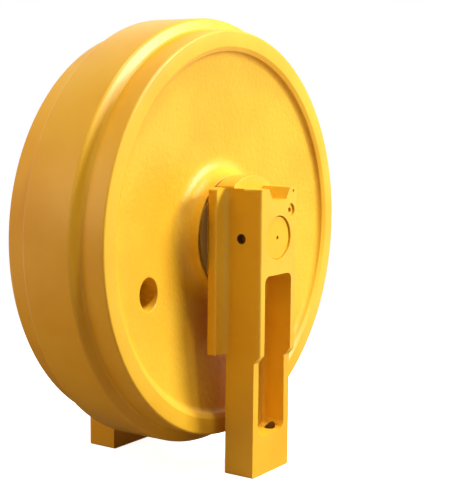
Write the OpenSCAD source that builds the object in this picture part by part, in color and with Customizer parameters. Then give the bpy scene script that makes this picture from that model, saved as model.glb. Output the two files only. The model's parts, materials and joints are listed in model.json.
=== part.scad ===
// Front idler of a tracked excavator: a hollow cast wheel that turns on a fixed shaft between two brackets.
// The idler stands on the feet of its brackets. The origin is on that surface, midway between the feet,
// with +Z up and the shaft along Y. Sizes are in millimetres.

/* [Wheel rim] */
// Diameter of the two side treads that the chain links roll on
tread_d = 512; // [490:1:530]
// Width of the rim across both treads
rim_w = 145; // [138:1:156]
// Thickness of the rim under the treads
rim_t = 22; // [16:0.5:28]
// Height of the middle guide flange above the treads
flange_h = 15; // [8:0.5:18]
// Width of the guide flange across its crest
flange_w = 71.4; // [60:0.2:80]
// Lean of each flank of the guide flange, from crest to tread
flank_lean = 2.5; // [1:0.5:6]
// Rounding of the crest's edges
crest_round = 4; // [1:0.5:6]
// Fillet between the guide flange and the treads
flank_fillet = 4; // [2:0.5:8]
// Rounding of the rim's outer edges
tread_round = 3; // [1:0.5:6]
// Height of the flat ring on each side of the rim
rim_face_h = 20.5; // [14:0.1:24]
// Width of the bevel inside that flat ring
rim_bevel_w = 5.6; // [2:0.2:8]
// Depth of the bevel inside that flat ring
rim_bevel_d = 3; // [1:0.5:6]

/* [Wheel web and hub] */
// Thickness of the cast side webs
web_t = 18; // [14:0.5:22]
// Depth of the web below the rim's side, where it meets the rim
web_recess = 9.2; // [8:0.1:14]
// Draft of the rim's inner wall, from the bevel to the web
rim_wall_draft = 2.8; // [1:0.2:5]
// Fillet between the rim and the web
rim_fillet = 9; // [4:0.5:10]
// Outer diameter of the hub
hub_d = 151; // [144:1:160]
// Distance of the hub's end inward from the rim's side
hub_setback = 2.2; // [1:0.2:4]
// Height of the hub above the web
boss_h = 25.4; // [22:0.1:30]
// Fillet between the hub and the web
hub_fillet = 20; // [10:1:22]
// Rounding of the hub's end edge
hub_round = 2; // [0.5:0.5:4]
// Wall of the hub around the bushes, inside the hollow
hub_wall = 27.5; // [20:0.5:34]
// Fillet in the corners of the hollow
hollow_fillet = 15; // [6:1:18]
// Diameter of the core hole in the near web
core_hole_d = 32; // [20:1:40]
// Distance of the core hole from the shaft's axis
core_hole_reach = 164.8; // [140:0.2:185]
// Angle of the core hole, seen from the near side and counted from the right
core_hole_angle = 201.4; // [190:0.2:210]

/* [Shaft and bushes] */
// Diameter of the shaft inside the bushes
journal_d = 65; // [60:1:70]
// Diameter of the shaft's ends in the brackets
shaft_end_d = 55; // [50:1:57]
// Depth of the shaft's ends below the brackets' outer faces
shaft_recess = 2.2; // [1:0.1:3]
// Chamfer of the shaft's ends
shaft_chamfer = 1.5; // [0.5:0.5:3]
// Diameter of the centre drilling in each end of the shaft
centre_drill_d = 5; // [3:0.5:8]
// Depth of the centre drilling
centre_drill_depth = 6; // [3:0.5:10]
// Wall of a bush
bush_wall = 6; // [4:0.5:8]
// Length of a bush below its flange
bush_length = 40; // [32:1:46]
// Diameter of a bush's flange
bush_flange_d = 88; // [84:1:94]
// Thickness of a bush's flange
bush_flange_t = 3; // [2:0.5:3.5]
// Depth of the oil space round the shaft between the bushes
oil_space = 4; // [2:0.5:8]
// Clearance at each side of the shaft in the bushes
running_clearance = 0.05; // [0.02:0.01:0.1]
// Clearance at each side of a piece that sits fixed in its seat
seat_clearance = 0.05; // [0.02:0.01:0.1]
// Play between a bush's flange and the bracket
thrust_play = 0.3; // [0.2:0.05:0.6]

/* [Floating seals] */
// Gap between the hub's end and the bracket's collar
end_gap = 1.8; // [1.2:0.1:3]
// Diameter of the seal housings in hub and bracket
seal_housing_d = 112; // [110:0.5:114]
// Depth of the seal housings
seal_depth = 12; // [11.5:0.5:13]
// Bore of the metal seal rings
seal_bore_d = 82; // [80:0.5:84]
// Outer diameter of a seal ring where its toric ring grips it
seal_body_d = 100; // [99:0.5:101]
// Diameter of a seal ring's running face
seal_face_d = 108; // [104:0.5:109]
// Thickness of the collar that carries the running face
seal_face_t = 3; // [2:0.5:3]
// Width of the polished band on the running face
seal_band_w = 4; // [2:0.5:6]
// Hollow of the running face inside its polished band
seal_relief = 0.6; // [0.2:0.1:1]
// Length of a seal ring
seal_length = 9.6; // [9.4:0.1:9.8]
// Bevel at the tail of a seal ring
seal_tail_bevel = 1.5; // [0.5:0.5:2]
// Thickness of the O-ring on each end of the shaft
o_ring_d = 4; // [3:0.5:5]
// Width of the O-ring's groove beyond its thickness
o_ring_play = 0.6; // [0.4:0.1:1]
// Distance of the O-ring from the seal housing's floor
o_ring_setback = 8; // [5:0.5:8]

/* [Bracket block] */
// Height of the shaft's axis above the feet
axle_height = 300; // [295:1:325]
// Width of the bracket's block and leg
block_w = 83.6; // [80:0.2:94]
// Thickness of the block
block_t = 49.5; // [47:0.1:55]
// Height of the block above the shaft's axis
block_top = 62; // [58:0.5:64]
// Rounding of the block's upright outer edges
block_round = 3; // [1:0.5:5]
// Rounding of the block's upper corners and the foot's lower corners
end_round = 3; // [1:0.5:5]
// Step from the block's outer face down to the leg's
leg_step = 8; // [5:0.5:10]
// Height of the slope that makes that step
step_slope_h = 9; // [6:0.5:14]
// Distance of that step below the shaft's axis
step_drop = 144.5; // [140:0.5:160]
// Radius of the dome over the seal
dome_r = 76; // [74:0.5:80]
// Thickness of the dome, from the guide rail's inner face
dome_t = 25.5; // [20:0.5:30]
// Width of the groove in the block's top, at its mouth
groove_mouth_w = 49; // [44:1:58]
// Width of the groove at its bottom
groove_floor_w = 31.6; // [24:0.2:38]
// Depth of the groove
groove_depth = 15; // [10:0.5:18]
// Fillet at the bottom of the groove
groove_fillet = 3; // [1:0.5:5]

/* [Bracket guide rail and collar] */
// Width of the guide rail that slides in the track frame
rail_w = 122; // [118:1:140]
// Thickness of the guide rail
rail_t = 13.4; // [12:0.2:16]
// Distance of the guide rail's lower end below the shaft's axis
rail_drop = 145.5; // [120:0.5:160]
// Rounding of the guide rail's edges
rail_round = 2.5; // [1:0.5:4]
// Rounding of the guide rail's upper corners
rail_corner = 6; // [2:0.5:10]
// Fillet between the guide rail and the block
rail_fillet = 8; // [4:0.5:9]
// Distance of the block's inner face outward from the rail's inner face
block_setback = 16.2; // [14:0.2:17]
// Diameter of the round collar that faces the hub
collar_d = 150; // [144:1:154]
// Height of that collar above the rail's inner face
collar_t = 2.4; // [1.4:0.2:4]
// Diameter of the spigot that takes the bush's thrust
spigot_d = 76; // [72:0.5:78]
// Bevel round the mouth of the shaft's bore
bore_bevel = 0.5; // [0.2:0.1:1.5]

/* [Bracket pocket and foot] */
// Width of the pocket in the outer face
pocket_w = 61; // [56:0.5:63]
// Distance of the pocket's upper end below the shaft's axis
pocket_drop = 46; // [42:0.2:60]
// Radius of the pocket's upper corners
pocket_top_round = 9; // [4:0.5:14]
// Radius of the pocket's lower corners
pocket_low_round = 12; // [6:0.5:14]
// Wall behind the pocket
pocket_back = 10.5; // [9:0.5:14]
// Fillet between the pocket's back and its sides
pocket_fillet = 5; // [2:0.5:8]
// Height of the solid foot under the pocket
foot_h = 50; // [40:1:65]
// Diameter of the two bolt holes through the foot
foot_hole_d = 13.5; // [11:0.5:15]
// Distance between the two bolt holes
foot_hole_pitch = 44; // [38:1:45]

/* [Lock pins and filler plugs] */
// Diameter of a lock pin
pin_d = 12; // [10:0.5:14]
// Distance of the lock pin inward from the block's outer face
pin_inset = 28.4; // [25:0.1:31]
// Depth of the lock pin's end below the block's side
pin_recess = 8; // [4:0.5:12]
// Wall left at the blind end of the lock pin's hole
pin_wall = 7; // [4:0.5:10]
// Bevel of the lock pin's ends
pin_bevel = 1; // [0.5:0.5:2]
// Place of the filler plug to the right of the shaft, seen from outside
plug_right = 28; // [27:0.5:30]
// Place of the filler plug above the shaft
plug_up = 33; // [32:0.5:34]
// Diameter of the filler plug's thread
plug_d = 15; // [13:0.5:16]
// Length of the filler plug
plug_length = 14; // [10:0.5:18]
// Diameter of the recess round the filler plug
plug_recess_d = 16.8; // [16.2:0.1:18]
// Depth of the filler plug below the block's outer face
plug_recess = 2.5; // [1:0.5:4]
// Width across the flats of the filler plug's socket
plug_key_w = 6; // [5:0.5:8]
// Depth of the filler plug's socket
plug_key_depth = 7; // [4:0.5:9]
// Diameter of the oil passage behind the filler plug
oil_passage_d = 6; // [4:0.5:8]
// Diameter of the drilled mark near the block's top
mark_d = 4; // [3:0.5:5]
// Depth of the drilled mark
mark_depth = 3; // [2:0.5:4]
// Place of the drilled mark to the right of the shaft, seen from outside
mark_right = 33; // [32:0.5:35]
// Place of the drilled mark below the block's top
mark_down = 5; // [4:0.5:7]

/* [Hidden] */
$fn = 96;
paint = [0.96, 0.74, 0.14];
steel = [0.62, 0.63, 0.65];
dark_iron = [0.36, 0.36, 0.38];
bronze = [0.72, 0.52, 0.28];
black_rubber = [0.08, 0.08, 0.09];
// How far a cut runs past the face that it opens
cut = 1;

// Wheel section, as radius and distance from the middle plane
tread_r = tread_d / 2;
flange_r = tread_r + flange_h;
flange_half = flange_w / 2;
rim_half = rim_w / 2;
rim_edge_r = tread_r - rim_face_h;
rim_bevel_r = rim_edge_r - rim_bevel_w;
web_rim_r = rim_bevel_r - rim_wall_draft;
web_rim_y = rim_half - web_recess;
hub_r = hub_d / 2;
hub_end = rim_half - hub_setback;
web_hub_y = hub_end - boss_h;
web_slope = (web_rim_y - web_hub_y) / (web_rim_r - hub_r);
web_depth = web_t * sqrt(1 + web_slope * web_slope);
hollow_r = tread_r - rim_t;
housing_r = seal_housing_d / 2;
hub_floor = hub_end - seal_depth;

// Shaft and bushes
journal_r = journal_d / 2;
shaft_end_r = shaft_end_d / 2;
bracket_bore_r = shaft_end_r + seat_clearance;
bush_bore_r = journal_r + running_clearance;
bush_r = bush_bore_r + bush_wall;
hub_bore_r = bush_r + seat_clearance;
hub_core_r = hub_bore_r + hub_wall;
oil_half = hub_floor - bush_length;
bush_face = hub_floor + bush_flange_t;
shoulder = bush_face + thrust_play;

// Places counted outward from the middle plane
seal_plane = hub_end + end_gap / 2;
collar_face = hub_end + end_gap;
rail_in = collar_face + collar_t;
rail_out = rail_in + rail_t;
dome_out = rail_in + dome_t;
block_in = rail_in + block_setback;
block_out = block_in + block_t;
leg_out = block_out - leg_step;
shaft_out = block_out - shaft_recess;
seal_floor = collar_face + seal_depth;
pocket_floor = block_in + pocket_back;
foot_hole_out = (pocket_floor + leg_out) / 2;
pin_out = block_out - pin_inset;
plug_face = block_out - plug_recess;
plug_end = plug_face - plug_length;
o_ring_out = seal_floor + o_ring_setback;

// Heights above the feet
step_z = axle_height - step_drop;
leg_top = step_z - step_slope_h;
top_z = axle_height + block_top;

// Seal, toric and O-ring sections
seal_bore_r = seal_bore_d / 2;
seal_body_r = seal_body_d / 2;
seal_face_r = seal_face_d / 2;
toric_r = (housing_r - seal_body_r) / 2 - seat_clearance;
toric_middle = (seal_face_t + seal_length) / 2;
o_ring_r = o_ring_d / 2 - seat_clearance;

// Lock pin, along X from the side that it is driven in from
pin_start = block_w / 2 - pin_recess;
pin_end = pin_wall - block_w / 2;

function flat(point) = [point.x, point.y];
function unit(v) = v / norm(v);
function web_face(r) = web_hub_y + web_slope * (r - hub_r);
function mirrored(half) = [for (i = [len(half) - 1 : -1 : 0]) [half[i].x, -half[i].y, half[i].z]];

// Positive where the outline turns left at a point, which is an outward corner
function turn(before, at, after) = cross(flat(at) - flat(before), flat(after) - flat(at));
function half_angle(before, at, after) =
    acos(unit(flat(before) - flat(at)) * unit(flat(after) - flat(at))) / 2;
// The one point of a sharp corner, or the two ends of a rounded one
function corner_ends(before, at, after) =
    at.z == 0
    ? [flat(at)]
    : [for (to = [before, after]) flat(at) + unit(flat(to) - flat(at)) * at.z / tan(half_angle(before, at, after))];
function corner_centre(before, at, after) =
    flat(at) + unit(unit(flat(before) - flat(at)) + unit(flat(after) - flat(at)))
    * at.z / sin(half_angle(before, at, after));

// Closed outline, counted anticlockwise, whose points are x, y and the radius of that corner
module rounded_outline(points) {
    count = len(points);
    corners = [for (i = [0 : count - 1]) [points[(i + count - 1) % count], points[i], points[(i + 1) % count]]];
    round = [for (c = corners) if (c[1].z > 0) c];
    difference() {
        union() {
            polygon([for (c = corners) each corner_ends(c[0], c[1], c[2])]);
            for (c = round) if (turn(c[0], c[1], c[2]) > 0) corner_disc(c);
        }
        for (c = round) if (turn(c[0], c[1], c[2]) < 0) corner_disc(c);
    }
}

module corner_disc(c) {
    translate(corner_centre(c[0], c[1], c[2])) circle(c[1].z);
}

// Carries a shape that is turned about +Z onto the shaft, with its +Z outward on the far side
module about_shaft() {
    translate([0, 0, axle_height]) rotate([-90, 0, 0]) children();
}

// Carries a far-side piece to the near side
module near_side() {
    rotate([0, 0, 180]) children();
}

// A round bar outward along the shaft's direction, between two distances from the middle plane
module bar(right, up, r, from, to) {
    translate([-right, from, axle_height + up]) rotate([-90, 0, 0]) cylinder(h = to - from, r = r);
}

// Extrudes an outline in X and Z between two distances from the middle plane
module face_plate(from, to) {
    translate([0, to, 0]) rotate([90, 0, 0]) linear_extrude(to - from) children();
}

module wheel_section() {
    half = [
        [flange_r, flange_half, crest_round],
        [tread_r, flange_half + flank_lean, flank_fillet],
        [tread_r, rim_half, tread_round],
        [rim_edge_r, rim_half, 0],
        [rim_bevel_r, rim_half - rim_bevel_d, 0],
        [web_rim_r, web_rim_y, rim_fillet],
        [hub_r, web_hub_y, hub_fillet],
        [hub_r, hub_end, hub_round],
        [housing_r, hub_end, 0],
        [housing_r, hub_floor, 0],
        [hub_bore_r, hub_floor, 0],
        [hub_bore_r, oil_half, 0],
        [hub_bore_r + oil_space, oil_half, 0]
    ];
    hollow_half = [
        [hollow_r, web_face(hollow_r) - web_depth, hollow_fillet],
        [hub_core_r, web_face(hub_core_r) - web_depth, hollow_fillet]
    ];
    difference() {
        rounded_outline(concat(half, mirrored(half)));
        rounded_outline(concat(hollow_half, mirrored(hollow_half)));
    }
}

module wheel() {
    color(paint) difference() {
        about_shaft() rotate_extrude() wheel_section();
        near_side() bar(core_hole_reach * cos(core_hole_angle), core_hole_reach * sin(core_hole_angle),
            core_hole_d / 2, 0, rim_half);
    }
}

module bush() {
    color(bronze) about_shaft() rotate_extrude() polygon([
        [bush_bore_r, oil_half],
        [bush_r, oil_half],
        [bush_r, hub_floor],
        [bush_flange_d / 2, hub_floor],
        [bush_flange_d / 2, bush_face],
        [bush_bore_r, bush_face]
    ]);
}

// Seal ring with its running face at zero and its tail outward
module seal_ring() {
    color(dark_iron) rotate_extrude() polygon([
        [seal_bore_r, seal_relief],
        [seal_face_r - seal_band_w, 0],
        [seal_face_r, 0],
        [seal_face_r, seal_face_t],
        [seal_body_r, seal_face_t],
        [seal_body_r, seal_length - seal_tail_bevel],
        [seal_body_r - seal_tail_bevel, seal_length],
        [seal_bore_r, seal_length]
    ]);
}

module toric_ring() {
    color(black_rubber) translate([0, 0, toric_middle]) rotate_extrude()
        translate([(housing_r + seal_body_r) / 2, 0]) circle(toric_r);
}

module fixed_half() {
    about_shaft() translate([0, 0, seal_plane]) children();
}

module rotating_half() {
    about_shaft() translate([0, 0, seal_plane]) mirror([0, 0, 1]) children();
}

module shaft_o_ring() {
    color(black_rubber) about_shaft() translate([0, 0, o_ring_out]) rotate_extrude()
        translate([bracket_bore_r - o_ring_d / 2, 0]) circle(o_ring_r);
}

module shaft() {
    groove_r = bracket_bore_r - o_ring_d;
    groove_half = (o_ring_d + o_ring_play) / 2;
    half = [
        [0, shaft_out - centre_drill_depth],
        [centre_drill_d / 2, shaft_out - centre_drill_depth],
        [centre_drill_d / 2, shaft_out],
        [shaft_end_r - shaft_chamfer, shaft_out],
        [shaft_end_r, shaft_out - shaft_chamfer],
        [shaft_end_r, o_ring_out + groove_half],
        [groove_r, o_ring_out + groove_half],
        [groove_r, o_ring_out - groove_half],
        [shaft_end_r, o_ring_out - groove_half],
        [shaft_end_r, shoulder],
        [journal_r, shoulder]
    ];
    other_half = [for (i = [len(half) - 1 : -1 : 0]) [half[i].x, -half[i].y]];
    color(steel) difference() {
        about_shaft() rotate_extrude() polygon(concat(half, other_half));
        for (side = [-1, 1])
            translate([0, side * pin_out, axle_height]) rotate([0, 90, 0])
                cylinder(h = shaft_end_d + 2 * cut, r = pin_d / 2 + seat_clearance, center = true);
    }
}

// Plan of the guide rail, with the fillets that run into the block
module rail_plan() {
    inside = (block_in + block_out) / 2;
    half = [
        [rail_w / 2, rail_in, rail_round],
        [rail_w / 2, rail_out, rail_round],
        [block_w / 2, rail_out, rail_fillet],
        [block_w / 2, inside, 0]
    ];
    rounded_outline(concat(half, [for (i = [len(half) - 1 : -1 : 0]) [-half[i].x, half[i].y, half[i].z]]));
}

module guide_rail() {
    rail_low = axle_height - rail_drop;
    intersection() {
        translate([0, 0, rail_low]) linear_extrude(top_z - rail_low) rail_plan();
        face_plate(rail_in - cut, block_out) rounded_outline([
            [-rail_w / 2, rail_low, 0],
            [rail_w / 2, rail_low, 0],
            [rail_w / 2, top_z, rail_corner],
            [-rail_w / 2, top_z, rail_corner]
        ]);
    }
}

// Plan of the block or of the leg, out to a given distance from the middle plane
module block_plan(out, round) {
    rounded_outline([
        [-block_w / 2, block_in, 0],
        [block_w / 2, block_in, 0],
        [block_w / 2, out, round],
        [-block_w / 2, out, round]
    ]);
}

module block_and_leg() {
    intersection() {
        union() {
            translate([0, 0, leg_top]) linear_extrude(top_z - leg_top) block_plan(block_out, block_round);
            linear_extrude(leg_top + cut) block_plan(leg_out, 0);
        }
        face_plate(block_in - cut, block_out + cut) rounded_outline([
            [-block_w / 2, 0, end_round],
            [block_w / 2, 0, end_round],
            [block_w / 2, top_z, end_round],
            [-block_w / 2, top_z, end_round]
        ]);
    }
}

// The slope that takes the block's outer face in to the leg's
module step_slope() {
    rotate([90, 0, 90]) translate([0, 0, -block_w]) linear_extrude(2 * block_w) polygon([
        [leg_out, leg_top],
        [block_out + cut, leg_top],
        [block_out + cut, step_z],
        [block_out, step_z]
    ]);
}

module dome() {
    intersection() {
        bar(0, 0, dome_r, rail_in, dome_out);
        translate([-block_w / 2, rail_in, axle_height]) cube([block_w, dome_t, dome_r]);
    }
}

module top_groove() {
    floor_z = top_z - groove_depth;
    // The flanks run on upward at their own slope, past the dome
    rise = dome_r - block_top;
    lean = (groove_mouth_w - groove_floor_w) / 2 / groove_depth;
    over = groove_mouth_w / 2 + rise * lean;
    face_plate(dome_out, block_out + cut) rounded_outline([
        [-groove_floor_w / 2, floor_z, groove_fillet],
        [groove_floor_w / 2, floor_z, groove_fillet],
        [over, top_z + rise, 0],
        [-over, top_z + rise, 0]
    ]);
}

module pocket() {
    pocket_top = axle_height - pocket_drop;
    intersection() {
        face_plate(pocket_floor, block_out + cut) rounded_outline([
            [-pocket_w / 2, foot_h, pocket_low_round],
            [pocket_w / 2, foot_h, pocket_low_round],
            [pocket_w / 2, pocket_top, pocket_top_round],
            [-pocket_w / 2, pocket_top, pocket_top_round]
        ]);
        linear_extrude(pocket_top + cut) rounded_outline([
            [-pocket_w / 2, pocket_floor, pocket_fillet],
            [pocket_w / 2, pocket_floor, pocket_fillet],
            [pocket_w / 2, block_out + cut, 0],
            [-pocket_w / 2, block_out + cut, 0]
        ]);
    }
}

module foot_holes() {
    for (side = [-1, 1])
        translate([side * foot_hole_pitch / 2, foot_hole_out, -cut])
            cylinder(h = foot_h + pocket_low_round + cut, d = foot_hole_d);
}

// Bore for the shaft's end, with a bevel round its mouth
module shaft_bore() {
    about_shaft() rotate_extrude() polygon([
        [0, shoulder - cut],
        [bracket_bore_r, shoulder - cut],
        [bracket_bore_r, block_out - bore_bevel],
        [bracket_bore_r + bore_bevel, block_out],
        [bracket_bore_r + bore_bevel, block_out + cut],
        [0, block_out + cut]
    ]);
}

// Ring-shaped housing for the fixed half of the seal, round the spigot
module seal_housing() {
    about_shaft() rotate_extrude() translate([spigot_d / 2, shoulder])
        square([housing_r - spigot_d / 2, seal_floor - shoulder]);
}

module pin_hole() {
    translate([pin_end, pin_out, axle_height]) rotate([0, 90, 0])
        cylinder(h = block_w / 2 + cut - pin_end, r = pin_d / 2 + seat_clearance);
}

module plug_hole() {
    bar(plug_right, plug_up, plug_recess_d / 2, plug_face, block_out + cut);
    bar(plug_right, plug_up, plug_d / 2 + seat_clearance, plug_end, block_out);
    bar(plug_right, plug_up, oil_passage_d / 2, seal_floor - cut, block_out);
}

module bracket() {
    color(paint) difference() {
        union() {
            guide_rail();
            difference() {
                block_and_leg();
                step_slope();
            }
            dome();
            bar(0, 0, collar_d / 2, collar_face, rail_in);
            bar(0, 0, spigot_d / 2, shoulder, seal_floor);
        }
        seal_housing();
        shaft_bore();
        top_groove();
        pocket();
        foot_holes();
        pin_hole();
        plug_hole();
        bar(mark_right, block_top - mark_down, mark_d / 2, block_out - mark_depth, block_out + cut);
    }
}

module lock_pin() {
    color(steel) translate([pin_end, pin_out, axle_height]) rotate([0, 90, 0]) rotate_extrude() polygon([
        [0, 0],
        [pin_d / 2 - pin_bevel, 0],
        [pin_d / 2, pin_bevel],
        [pin_d / 2, pin_start - pin_end - pin_bevel],
        [pin_d / 2 - pin_bevel, pin_start - pin_end],
        [0, pin_start - pin_end]
    ]);
}

module filler_plug() {
    color(paint) difference() {
        bar(plug_right, plug_up, plug_d / 2, plug_end, plug_face);
        translate([-plug_right, plug_face - plug_key_depth, axle_height + plug_up]) rotate([-90, 0, 0])
            cylinder(h = plug_key_depth + cut, d = plug_key_w / cos(30), $fn = 6);
    }
}

wheel();
near_side() bush();  // near_bush
bush();  // far_bush
near_side() rotating_half() seal_ring();  // near_rotating_seal_ring
rotating_half() seal_ring();  // far_rotating_seal_ring
near_side() rotating_half() toric_ring();  // near_rotating_toric_ring
rotating_half() toric_ring();  // far_rotating_toric_ring
shaft();
near_side() bracket();  // near_bracket
bracket();  // far_bracket
near_side() fixed_half() seal_ring();  // near_fixed_seal_ring
fixed_half() seal_ring();  // far_fixed_seal_ring
near_side() fixed_half() toric_ring();  // near_fixed_toric_ring
fixed_half() toric_ring();  // far_fixed_toric_ring
near_side() shaft_o_ring();  // near_shaft_o_ring
shaft_o_ring();  // far_shaft_o_ring
near_side() lock_pin();  // near_lock_pin
lock_pin();  // far_lock_pin
near_side() filler_plug();  // near_filler_plug
filler_plug();  // far_filler_plug
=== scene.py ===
# %% [markdown]
# # Front idler of a tracked excavator
# The idler is the plain wheel at the front of a crawler track. It is a hollow yellow casting that turns on a
# fixed shaft, and two cast brackets hold that shaft and slide in the track frame. The engineering model gives
# every piece its place and size. This lesson adds what the eye sees: paint, bare metal, soft edges, a camera
# at the photograph's angle and a quiet studio.

# %% Load the engineering model
import json
from math import cos, hypot, pi, radians, sin, tan

import bmesh
import bpy
from mathutils import Matrix, Vector


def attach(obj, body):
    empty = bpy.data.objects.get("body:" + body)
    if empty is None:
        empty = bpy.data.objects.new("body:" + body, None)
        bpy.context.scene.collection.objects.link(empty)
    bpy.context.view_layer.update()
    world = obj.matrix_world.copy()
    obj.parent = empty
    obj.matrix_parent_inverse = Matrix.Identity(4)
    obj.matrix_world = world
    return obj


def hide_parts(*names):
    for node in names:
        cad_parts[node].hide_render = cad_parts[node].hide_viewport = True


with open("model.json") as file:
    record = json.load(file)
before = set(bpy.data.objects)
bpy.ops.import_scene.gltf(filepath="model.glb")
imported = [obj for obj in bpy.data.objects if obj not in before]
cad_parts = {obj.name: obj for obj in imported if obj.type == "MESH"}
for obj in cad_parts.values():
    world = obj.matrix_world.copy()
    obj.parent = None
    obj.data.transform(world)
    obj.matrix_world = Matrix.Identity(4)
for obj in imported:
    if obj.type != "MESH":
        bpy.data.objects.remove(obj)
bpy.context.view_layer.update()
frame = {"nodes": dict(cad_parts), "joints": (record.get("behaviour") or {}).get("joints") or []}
axle = Vector(frame["joints"][0]["pos_m"])
print("the wheel turns about", axle)

# %% [markdown]
# ## The camera
# A camera is easiest to think about as somebody walking round the object. The azimuth says how far they
# walked round, the elevation how far above the axle they look from, and the pan how far they stepped sideways
# without turning. These values were fitted to the circles of the wheel in the photograph, and the lens is the
# one that makes the circles as oval as they are there.

# %% Set the camera up
azimuth = radians(-55.83)
elevation = radians(7.02)
roll = radians(0.57)
distance = 1.55355
pan_right = 0.05197
pan_up = -0.02585
lens_mm, sensor_mm = 85.62, 36

backward = Vector((sin(azimuth) * cos(elevation), -cos(azimuth) * cos(elevation), sin(elevation)))
level_right = Vector((cos(azimuth), sin(azimuth), 0))
level_up = backward.cross(level_right)
camera_right = level_right * cos(roll) + level_up * sin(roll)
camera_up = level_up * cos(roll) - level_right * sin(roll)

camera_data = bpy.data.cameras.new("photo_camera")
camera_data.sensor_width = sensor_mm
camera_data.lens = lens_mm
camera_data.clip_start = 0.01
camera = bpy.data.objects.new("photo_camera", camera_data)
eye = axle + backward * distance + camera_right * pan_right + camera_up * pan_up
turned = Matrix((camera_right, camera_up, backward)).transposed()
camera.matrix_world = Matrix.Translation(eye) @ turned.to_4x4()
bpy.context.scene.collection.objects.link(camera)
bpy.context.scene.camera = camera
print("the camera stands at", eye)

# %% [markdown]
# ## A way to write finishes as sums
# A finish is a graph of nodes, but a graph is hard to read as a list of links. The class `Signal` stands for
# one output of a node, and a sum of signals adds the maths nodes for itself. The class `Finish` is one
# material, and its method `add` makes any other node: its settings first, then its sockets.

# %% Signals and finishes
class Signal:
    """One output of a node. Sums of signals become maths nodes."""

    def __init__(self, finish, socket):
        self.finish = finish
        self.socket = socket

    def maths(self, operation, *values):
        return self.finish.add("ShaderNodeMath", {"operation": operation}, dict(enumerate(values)))

    def __add__(self, other):
        return self.maths("ADD", self, other)

    def __sub__(self, other):
        return self.maths("SUBTRACT", self, other)

    def __rsub__(self, other):
        return self.maths("SUBTRACT", other, self)

    def __mul__(self, other):
        return self.maths("MULTIPLY", self, other)

    def __pow__(self, power):
        return self.maths("POWER", self, power)

    def __abs__(self):
        return self.maths("ABSOLUTE", self)

    def larger(self, other):
        return self.maths("MAXIMUM", self, other)

    def step(self, low, high):
        """Rises softly from 0 at low to 1 at high."""
        return self.finish.add("ShaderNodeMapRange", {"interpolation_type": "SMOOTHSTEP"},
                               {"Value": self, "From Min": low, "From Max": high})

    __radd__ = __add__
    __rmul__ = __mul__


class Finish:
    """The nodes of one material or of the world."""

    def __init__(self, owner):
        owner.use_nodes = True
        self.owner = owner
        self.tree = owner.node_tree
        self.tree.nodes.clear()

    def add(self, kind, settings=None, sockets=None, output=0):
        node = self.tree.nodes.new(kind)
        for name, value in (settings or {}).items():
            setattr(node, name, value)
        for name, value in (sockets or {}).items():
            if isinstance(value, Signal):
                self.tree.links.new(value.socket, node.inputs[name])
            else:
                node.inputs[name].default_value = value
        return Signal(self, node.outputs[output]) if node.outputs else node

    def place(self):
        """Where a point is, in metres, in the frame of the piece."""
        return self.add("ShaderNodeTexCoord", output="Object")

    def axes(self, place):
        """The three coordinates of a place, as numbers."""
        split = {"Vector": place}
        return [self.add("ShaderNodeSeparateXYZ", None, split, output) for output in "XYZ"]

    def noise(self, place, size, detail, roughness=0.5):
        """Cloudy noise between 0 and 1 with blotches of about that size in metres."""
        sockets = {"Vector": place, "Scale": 1 / size, "Detail": detail, "Roughness": roughness}
        return self.add("ShaderNodeTexNoise", None, sockets, "Fac")

    def blend(self, amount, first, second):
        """One colour that passes into another. Each is three numbers or a signal."""
        first, second = [(*colour, 1) if isinstance(colour, tuple) else colour for colour in (first, second)]
        sockets = {"Factor": amount, "A": first, "B": second}
        return self.add("ShaderNodeMix", {"data_type": "RGBA"}, sockets, "Result")

    def bump(self, height, metres, normal=None):
        """A relief of that depth under the surface's shine."""
        sockets = {"Height": height, "Distance": metres, "Strength": 1.0}
        if normal:
            sockets["Normal"] = normal
        return self.add("ShaderNodeBump", None, sockets)

    def shine(self, sockets):
        """The material's own shader."""
        shader = self.add("ShaderNodeBsdfPrincipled", None, sockets)
        self.add("ShaderNodeOutputMaterial", None, {"Surface": shader})
        return self.owner


def reach(a, b):
    """How far a point is from an axis, from its two distances across that axis."""
    return (a * a + b * b) ** 0.5


print("finishes are written as sums of", Signal.__name__, "in a", Finish.__name__)

# %% [markdown]
# ## Yellow enamel on a casting
# Both brackets and the wheel are steel castings, shot blasted and sprayed with machine enamel. Two things
# show on the real paint: a fine orange peel from the spray gun, and the grain of the sand mould under it
# wherever no tool has cut the surface. A picture of paint would stretch and blur, so the peel and the grain
# are noise of a known size in metres. On the wheel a mask by radius keeps the grain on the webs and the hub,
# because the rim was turned on a lathe, and there fine rings take its place. The slit between hub and guide
# rail, the foot holes and the pin holes are turned dark brown and rougher: painted shade for these recesses,
# on metal that the spray gun hardly reached.

# %% Mix the enamel
yellow = (0.80, 0.475, 0.028)
deep_yellow = (0.76, 0.415, 0.02)
# Dark brown for the slit and holes: painted shade, on bare metal.
bare_metal_and_shade = (0.21, 0.105, 0.014)
blotch_edge = (0.35, 0.7)
cloud_size, grain_size, peel_size, ring_pitch = 0.09, 0.006, 0.0022, 0.0011
grain_depth, peel_depth, ring_depth = 0.0007, 0.00012, 0.00008
enamel_roughness, bare_roughness, blotch_roughness = 0.31, 0.5, 0.08
enamel_gloss = 0.34


def sprayed_yellow(finish, clouds):
    """Machine yellow, a shade deeper in wide blotches."""
    return finish.blend(clouds.step(*blotch_edge), yellow, deep_yellow)


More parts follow.
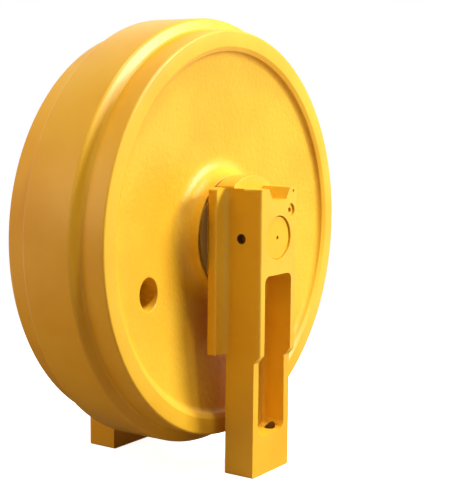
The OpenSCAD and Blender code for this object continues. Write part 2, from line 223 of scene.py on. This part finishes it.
def enamel(name, grain_mask, ring_mask=None, bare_and_shade_mask=None):
    """Yellow paint. Each mask says where its detail shows, from x, y, z and the distance from the axle."""
    paint = Finish(bpy.data.materials.new(name))
    place = paint.place()
    clouds = paint.noise(place, cloud_size, 3.0)
    colour = sprayed_yellow(paint, clouds)
    x, y, z = paint.axes(place)
    radius = reach(x, z - axle.z)
    grain = paint.noise(place, grain_size, 3.0, 0.6) * grain_mask(x, y, z, radius)
    peel = paint.noise(place, peel_size, 1.0)
    roughness = enamel_roughness + (clouds + grain) * blotch_roughness
    # Painted shade: the slit and holes turn dark brown, on bare metal that is also rougher.
    if bare_and_shade_mask:
        bare_and_shade = bare_and_shade_mask(x, y, z, radius)
        colour = paint.blend(bare_and_shade, colour, bare_metal_and_shade)
        roughness = roughness + bare_and_shade * bare_roughness
    relief = paint.bump(peel, peel_depth, paint.bump(grain, grain_depth))
    if ring_mask:
        across = paint.add("ShaderNodeCombineXYZ", None, {"X": radius, "Y": y})
        rings = paint.noise(across, ring_pitch, 2.0) * ring_mask(x, y, z, radius)
        relief = paint.bump(rings, ring_depth, relief)
    return paint.shine({"Base Color": colour, "Roughness": roughness, "Normal": relief,
                        "Specular IOR Level": enamel_gloss})


# %% Say where the paint shows grain and rings, and where it is darkened as painted shade
# Each pair is where a mask begins to change and where it has changed, in metres.
grain_ends = (0.224, 0.230)
rings_begin = (0.229, 0.233)
milled_face = (0.1375, 0.1390)
bracket_grain = 0.3
collar_face = (0.0741, 0.0744)
rail_side = (0.0611, 0.0615)
pin_y, pin_hole = 0.1118, (0.0062, 0.0066)
bolt_x, bolt_y, bolt_hole = 0.022, 0.1167, (0.0070, 0.0074)
above_bolt_holes = (0.070, 0.072)


def wheel_cast(x, y, z, radius):
    """Webs and hub."""
    return 1 - radius.step(*grain_ends)


def wheel_turned(x, y, z, radius):
    """Rim, treads and guide flange."""
    return radius.step(*rings_begin)


def bracket_cast(x, y, z, radius):
    """All but the milled outer face."""
    return (1 - abs(y).step(*milled_face)) * bracket_grain


def bare_and_shaded_slit_and_holes(x, y, z, radius):
    """Painted shade in the slit between hub and rail and in the foot and pin holes, on bare metal the spray
    gun hardly reached.
    """
    off_collar = abs(y).step(*collar_face)
    on_rail = 1 - abs(x).step(*rail_side)
    off_pin = reach(abs(y) - pin_y, z - axle.z).step(*pin_hole)
    off_bolt = reach(abs(x) - bolt_x, abs(y) - bolt_y).step(*bolt_hole)
    off_bolt = off_bolt.larger(z.step(*above_bolt_holes))
    return 1 - off_collar * on_rail * off_pin * off_bolt


wheel_paint = enamel("wheel_enamel", wheel_cast, wheel_turned)
bracket_paint = enamel("bracket_enamel", bracket_cast, bare_and_shade_mask=bare_and_shaded_slit_and_holes)
print("enamel mixed:", wheel_paint.name, bracket_paint.name)

# %% [markdown]
# ## The metals and rubbers inside
# The shaft is ground steel. Its ends were sprayed together with the brackets, so the same yellow covers them
# and stops just under the block's face. The pins are dull brown steel, the bushes bronze, the seal rings dark
# cast iron and the toric rings black rubber. They show only in the gaps, but each keeps its own finish.

# %% Mix the metals and the rubber
metal_grain_depth, paint_on_steel_depth, rubber_grain_depth = 0.00003, 0.0001, 0.00005
bare_steel = (0.42, 0.41, 0.40)
paint_line = (0.1345, 0.1352)
shaft_roughness, shaft_gloss = 0.3, 0.18
clean_rubber, dusty_rubber = (0.012, 0.012, 0.013), (0.035, 0.034, 0.033)
dust_size, rubber_grain_size = 0.012, 0.0015


def metal(name, light, dark, size, roughness):
    """Bare metal with blotches of that size in metres, and a fine grain a twelfth as wide."""
    finish = Finish(bpy.data.materials.new(name))
    place = finish.place()
    cloud = finish.noise(place, size, 4.0, 0.6)
    fine = finish.noise(place, size / 12, 2.0)
    colour = finish.blend(cloud, dark, light)
    return finish.shine({"Base Color": colour, "Roughness": roughness + fine * 0.15, "Metallic": 1.0,
                         "Normal": finish.bump(fine, metal_grain_depth)})


def painted_shaft():
    finish = Finish(bpy.data.materials.new("shaft_steel_and_enamel"))
    place = finish.place()
    x, y, z = finish.axes(place)
    painted = abs(y).step(*paint_line)
    clouds = finish.noise(place, cloud_size, 3.0)
    fine = finish.noise(place, peel_size, 1.0)
    colour = finish.blend(painted, bare_steel, sprayed_yellow(finish, clouds))
    roughness = shaft_roughness + clouds * blotch_roughness + fine * 0.05
    return finish.shine({"Base Color": colour, "Roughness": roughness, "Metallic": 1 - painted,
                         "Normal": finish.bump(fine, paint_on_steel_depth),
                         "Specular IOR Level": shaft_gloss})


def rubber():
    finish = Finish(bpy.data.materials.new("black_rubber"))
    place = finish.place()
    dust = finish.noise(place, dust_size, 3.0)
    fine = finish.noise(place, rubber_grain_size, 2.0)
    colour = finish.blend(dust, clean_rubber, dusty_rubber)
    return finish.shine({"Base Color": colour, "Roughness": 0.55 + fine * 0.25,
                         "Normal": finish.bump(fine, rubber_grain_depth)})


finishes = {
    "wheel_paint": wheel_paint,
    "bracket_paint": bracket_paint,
    "shaft_steel": painted_shaft(),
    "pin_steel": metal("pin_steel", (0.30, 0.13, 0.05), (0.16, 0.06, 0.022), 0.008, 0.7),
    "plug_steel": enamel("plug_enamel", bracket_cast),
    "bush_bronze": metal("bush_bronze", (0.62, 0.40, 0.17), (0.45, 0.27, 0.10), 0.02, 0.3),
    "seal_iron": metal("seal_iron", (0.26, 0.25, 0.25), (0.15, 0.145, 0.14), 0.01, 0.35),
    "seal_rubber": rubber(),
}
for node in frame["nodes"].values():
    for slot in node.material_slots:
        slot.material = finishes[slot.material.name]
print(len(frame["nodes"]), "nodes wear", len(finishes), "finishes")

# %% [markdown]
# ## The wheel
# The real wheel is cast in one piece round a sand core and then turned on a lathe, so its section spun about
# the axle is the natural way to make it. The engineering model's mesh has long thin triangles that would show
# as streaks in the gloss. Here the section is one face whose corners are rounded by bevel, and a full spin
# turns its outline into the wheel. Half of the section is written down in millimetres, as radius, distance
# from the middle plane and radius of the corner, and the other half is its mirror image.

# %% Write the wheel's section down
mm = 0.001
web_thickness = 18
hub_foot = (75.5, 44.9)
rim_foot = (227.1, 63.3)
web_slope = (rim_foot[1] - hub_foot[1]) / (rim_foot[0] - hub_foot[0])
web_depth = web_thickness * hypot(1, web_slope)


def web_face(radius):
    """How far the near web's outer face is from the wheel's middle plane, in millimetres."""
    return hub_foot[1] + web_slope * (radius - hub_foot[0])


wheel_half = [
    (271, 35.7, 4), (256, 38.2, 4), (256, 72.5, 3), (235.5, 72.5, 1), (229.9, 69.5, 1.5),
    (*rim_foot, 9), (*hub_foot, 20), (75.5, 70.3, 2), (56, 70.3, 0.6),
    (56, 58.3, 0), (38.6, 58.3, 0), (38.6, 18.3, 0), (42.6, 18.3, 0),
]
hollow_radii, hollow_rounding = (234, 66.1), 15
hollow_half = [(radius, web_face(radius) - web_depth, hollow_rounding) for radius in hollow_radii]
print("the web leans", round(web_slope, 3), "and is", round(web_depth, 2), "mm deep along the axle")


# %% Round the section's corners and spin it
corner_segments = 6
least_web, web_cuts = 80 * mm, 26
spin_steps = 240
weld = 1e-6


def section_face(shape, half):
    """One flat face on the +X side of the axle, with rounded corners."""
    corners = half + [(radius, -y, rounding) for radius, y, rounding in reversed(half)]
    points = [shape.verts.new((radius * mm, y * mm, axle.z)) for radius, y, rounding in corners]
    shape.faces.new(points)
    for i, (point, corner) in enumerate(zip(points, corners)):
        *place, rounding = corner
        if rounding:
            here = Vector(place)
            back = Vector(corners[i - 1][:2]) - here
            onward = Vector(corners[(i + 1) % len(corners)][:2]) - here
            tangent = rounding / tan(back.angle(onward) / 2)
            bmesh.ops.bevel(shape, geom=[point], offset=tangent * mm, offset_type="ABSOLUTE",
                            segments=corner_segments, profile=0.5, affect="VERTICES", material=-1)


def spun(shape, outline):
    """Turns the edges of a section once round the axle."""
    ends = list({end for edge in outline for end in edge.verts})
    bmesh.ops.spin(shape, geom=outline + ends, cent=axle, axis=(0, 1, 0), angle=2 * pi, steps=spin_steps,
                   use_merge=True)


wheel_shape = bmesh.new()
for half in (wheel_half, hollow_half):
    section_face(wheel_shape, half)
bmesh.ops.delete(wheel_shape, geom=list(wheel_shape.faces), context="FACES_ONLY")
web_edges = [edge for edge in wheel_shape.edges if abs(edge.verts[0].co.x - edge.verts[1].co.x) > least_web]
bmesh.ops.subdivide_edges(wheel_shape, edges=web_edges, cuts=web_cuts)
spun(wheel_shape, list(wheel_shape.edges))
bmesh.ops.remove_doubles(wheel_shape, verts=wheel_shape.verts, dist=weld)
bmesh.ops.recalc_face_normals(wheel_shape, faces=wheel_shape.faces)
print("the spun wheel has", len(wheel_shape.faces), "faces")

# %% [markdown]
# ## The core hole
# The sand core hung in the mould on a stub, and that stub left one round hole in the near web. It is cut as a
# plate worker would patch it: the faces round the hole come out of both walls of the web, a true circle is
# laid into each gap on the web's own cone, and the gap and the hole's wall are filled with new faces. Seen
# aslant, the photograph shows nothing but wall in the hole, so the inner circle lies deeper as a short lip.

# %% Open the core hole
hole_radius, hole_lip, hole_rounding = 20, 10, 1.2
hole_segments = 72
patch_margin, seam_margin = 5, 30
outer_wall, inner_wall = (48, 66), (28, 47.5)
hole_reach = 164.8
hole_angle = radians(201.4)
hole_middle = Vector((hole_reach * cos(hole_angle), 0, hole_reach * sin(hole_angle))) * mm + axle


def open_wall(shape, wall, depth):
    """Takes out the faces of one wall of the near web round the hole, and lays a circle into the gap."""
    nearest, farthest = wall

    def in_wall(point, margin):
        beside = hypot(point.x - hole_middle.x, point.z - hole_middle.z) < (hole_radius + margin) * mm
        return nearest * mm < -point.y < farthest * mm and beside

    gone = [face for face in shape.faces if in_wall(face.calc_center_median(), patch_margin)]
    bmesh.ops.delete(shape, geom=gone, context="FACES")
    open_edges = [edge for edge in shape.edges if edge.is_boundary]
    edge_of_gap = [edge for edge in open_edges if in_wall(edge.verts[0].co, seam_margin)]
    turn = Matrix.Translation(hole_middle) @ Matrix.Rotation(pi / 2, 4, "X")
    made = bmesh.ops.create_circle(shape, segments=hole_segments, radius=hole_radius * mm, matrix=turn)
    ring = made["verts"]
    for point in ring:
        radius = hypot(point.co.x, point.co.z - axle.z) / mm
        point.co.y = (depth - web_face(radius)) * mm
    circle = list({edge for point in ring for edge in point.link_edges})
    bmesh.ops.triangle_fill(shape, edges=edge_of_gap + circle, use_beauty=True)
    return circle


outer_ring = open_wall(wheel_shape, outer_wall, 0)
inner_ring = open_wall(wheel_shape, inner_wall, web_depth + hole_lip)
bmesh.ops.bridge_loops(wheel_shape, edges=outer_ring + inner_ring)
bmesh.ops.recalc_face_normals(wheel_shape, faces=wheel_shape.faces)
bmesh.ops.bevel(wheel_shape, geom=outer_ring, offset=hole_rounding * mm, offset_type="OFFSET", segments=3,
                profile=0.5, affect="EDGES", material=-1)
print("open edges left on the wheel:", len([edge for edge in wheel_shape.edges if not edge.is_manifold]))


# %% Make the wheel a piece
def finished_piece(name, shape, body, node, slot, sharp_angle):
    """An object that stands for a node of the engineering model, smooth except at its sharp edges."""
    for face in shape.faces:
        face.smooth = True
    for edge in shape.edges:
        edge.smooth = edge.calc_face_angle(0) < sharp_angle
    mesh = bpy.data.meshes.new(name)
    shape.to_mesh(mesh)
    shape.free()
    mesh.materials.append(finishes[slot])
    piece = bpy.data.objects.new(name, mesh)
    bpy.context.scene.collection.objects.link(piece)
    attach(piece, body)
    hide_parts(node)
    return piece


wheel_sharp_angle = radians(32)
wheel = finished_piece("spun_wheel", wheel_shape, "turning_wheel", "wheel", "wheel_paint", wheel_sharp_angle)
print(wheel.name, "has", len(wheel.data.polygons), "faces")

# %% [markdown]
# ## The brackets
# A casting has no knife edges: the mould rounds them, and the paint draws back from them a little more. That
# soft edge catches the lamp as a thin bright line, and it shows all round the block in the photograph. A copy
# of each bracket's mesh is merged and cleaned, and its sharp edges get a narrow round bevel, apart from short
# ones, which have no room for it. The weighted normals then keep the large faces flat right up to it.

# %% Soften the brackets' edges
bore_mouth = 29 * mm
edge_rounding, shortest_edge = 0.9 * mm, 2.2 * mm
flat_angle, soften_angle, bracket_sharp_angle = radians(0.5), radians(28), radians(60)


def in_bore(edge):
    """True in the shaft's bore, whose mouth has a narrow bevel in the engineering model already."""
    return all(hypot(end.co.x, end.co.z - axle.z) < bore_mouth for end in edge.verts)


def soften_bracket(node):
    shape = bmesh.new()
    shape.from_mesh(frame["nodes"][node].data)
    bmesh.ops.remove_doubles(shape, verts=shape.verts, dist=weld)
    bmesh.ops.dissolve_limit(shape, angle_limit=flat_angle, verts=shape.verts, edges=shape.edges)
    sharp = {edge for edge in shape.edges if edge.calc_face_angle(0) > soften_angle}
    short = {end for edge in sharp if edge.calc_length() < shortest_edge for end in edge.verts}
    sharp = [edge for edge in sharp if not short.intersection(edge.verts) and not in_bore(edge)]
    bmesh.ops.bevel(shape, geom=sharp, offset=edge_rounding, offset_type="OFFSET", segments=2, profile=0.5,
                    affect="EDGES", material=-1)
    open_edges = [edge for edge in shape.edges if not edge.is_manifold]
    print(node, "has", len(sharp), "softened edges and", len(open_edges), "open edges")
    piece = finished_piece("soft_" + node, shape, "carrier", node, "bracket_paint", bracket_sharp_angle)
    flat_faces = piece.modifiers.new("flat_faces", "WEIGHTED_NORMAL")
    flat_faces.keep_sharp = True


for node in ("near_bracket", "far_bracket"):
    soften_bracket(node)

# %% [markdown]
# ## The studio
# The photograph shows the idler cut out on white, lit by one broad soft lamp from the right, with weaker
# light from above and from the left. A lamp behind it, which the photograph doesn't show, keeps the far side
# from going dark. The floor and the world are white to the camera and to reflections only, so that they don't
# flood the object with light. The floor still takes a faint shadow.

# %% Lay the floor
white = (1, 1, 1, 1)
floor_reach = 30
shadow_fades = (0.4, 1.3)
floor_bounce = (0.28, 0.22, 0.17, 1)
shadow_grey, floor_glow = (0.8, 0.8, 0.8, 1), 0.9


def ray(finish, *kinds):
    """1 for a ray of one of these kinds, such as one straight from the camera, and 0 for all others."""
    path = finish.add("ShaderNodeLightPath").socket.node.outputs
    found = Signal(finish, path[kinds[0]])
    for kind in kinds[1:]:
        found = found.larger(Signal(finish, path[kind]))
    return found


floor_mesh = bpy.data.meshes.new("studio_floor")
shape = bmesh.new()
bmesh.ops.create_grid(shape, x_segments=1, y_segments=1, size=floor_reach)
shape.to_mesh(floor_mesh)
shape.free()
floor = bpy.data.objects.new("studio_floor", floor_mesh)
bpy.context.scene.collection.objects.link(floor)

ground = Finish(bpy.data.materials.new("studio_floor"))
x, y, z = ground.axes(ground.place())
far_off = reach(x, y).step(*shadow_fades)
matt = ground.add("ShaderNodeBsdfDiffuse", None, {"Color": floor_bounce})
shadowed = ground.add("ShaderNodeBsdfDiffuse", None, {"Color": shadow_grey})
glow = ground.add("ShaderNodeEmission", None, {"Color": white, "Strength": floor_glow})
near_floor = ground.add("ShaderNodeAddShader", None, {0: shadowed, 1: glow})
white_floor = ground.add("ShaderNodeEmission", None, {"Color": white, "Strength": 1.0})
shown = ground.add("ShaderNodeMixShader", None, {0: far_off, 1: near_floor, 2: white_floor})
mirrored = ray(ground, "Is Glossy Ray", "Is Transmission Ray") * far_off
white_there = mirrored.larger(ray(ground, "Is Camera Ray"))
mixed = ground.add("ShaderNodeMixShader", None, {0: white_there, 1: matt, 2: shown})
ground.add("ShaderNodeOutputMaterial", None, {"Surface": mixed})
floor_mesh.materials.append(ground.owner)
print("the floor is white out to", floor_reach, "m")

# %% Light the room
low_fill, high_fill = (0.05, 0.037, 0.028), (0.38, 0.31, 0.24)
fill_rises = (-0.1, 1.0)
sky = bpy.data.worlds.new("studio_room")
bpy.context.scene.world = sky
room = Finish(sky)
up = room.axes(room.add("ShaderNodeTexCoord", output="Generated"))[2]
soft = room.blend(up.step(*fill_rises), low_fill, high_fill)
fill = room.add("ShaderNodeBackground", None, {"Color": soft, "Strength": 1.0})
backdrop = room.add("ShaderNodeBackground", None, {"Color": white, "Strength": 1.0})
white_there = ray(room, "Is Camera Ray", "Is Glossy Ray", "Is Transmission Ray")
mixed = room.add("ShaderNodeMixShader", None, {0: white_there, 1: fill, 2: backdrop})
room.add("ShaderNodeOutputWorld", None, {"Surface": mixed})
print("the room is white to the camera, and lit from above by", high_fill)


# %% Hang the lamps
def softbox(name, towards, metres, size, watts, colour):
    """A round lamp of that diameter, that far from the axle, and turned to it."""
    lamp_data = bpy.data.lights.new(name, "AREA")
    lamp_data.shape = "DISK"
    lamp_data.size = size
    lamp_data.energy = watts
    lamp_data.color = colour
    lamp = bpy.data.objects.new(name, lamp_data)
    away = Vector(towards).normalized()
    turned_to_axle = away.to_track_quat("Z", "Y").to_matrix().to_4x4()
    lamp.matrix_world = Matrix.Translation(axle + away * metres) @ turned_to_axle
    bpy.context.scene.collection.objects.link(lamp)
    return lamp


# Direction from the axle, distance and diameter in metres, watts and colour.
softbox("right_softbox", (0.62, -1.0, 0.62), 2.6, 1.0, 91, (1.0, 0.99, 0.95))
softbox("top_softbox", (-0.05, -0.33, 1.0), 2.4, 0.4, 33, (1.0, 0.99, 0.97))
softbox("left_reflector", (-1.0, 0.45, 0.42), 2.2, 1.5, 17, (1.0, 0.67, 0.48))
back_softbox = softbox("back_softbox", (0.5, 1.0, 0.3), 2.6, 1.6, 40, (1.0, 0.99, 0.97))
back_softbox.visible_glossy = False     # else it draws a thin bright line along the guide flange
bpy.context.scene.view_settings.view_transform = "Standard"
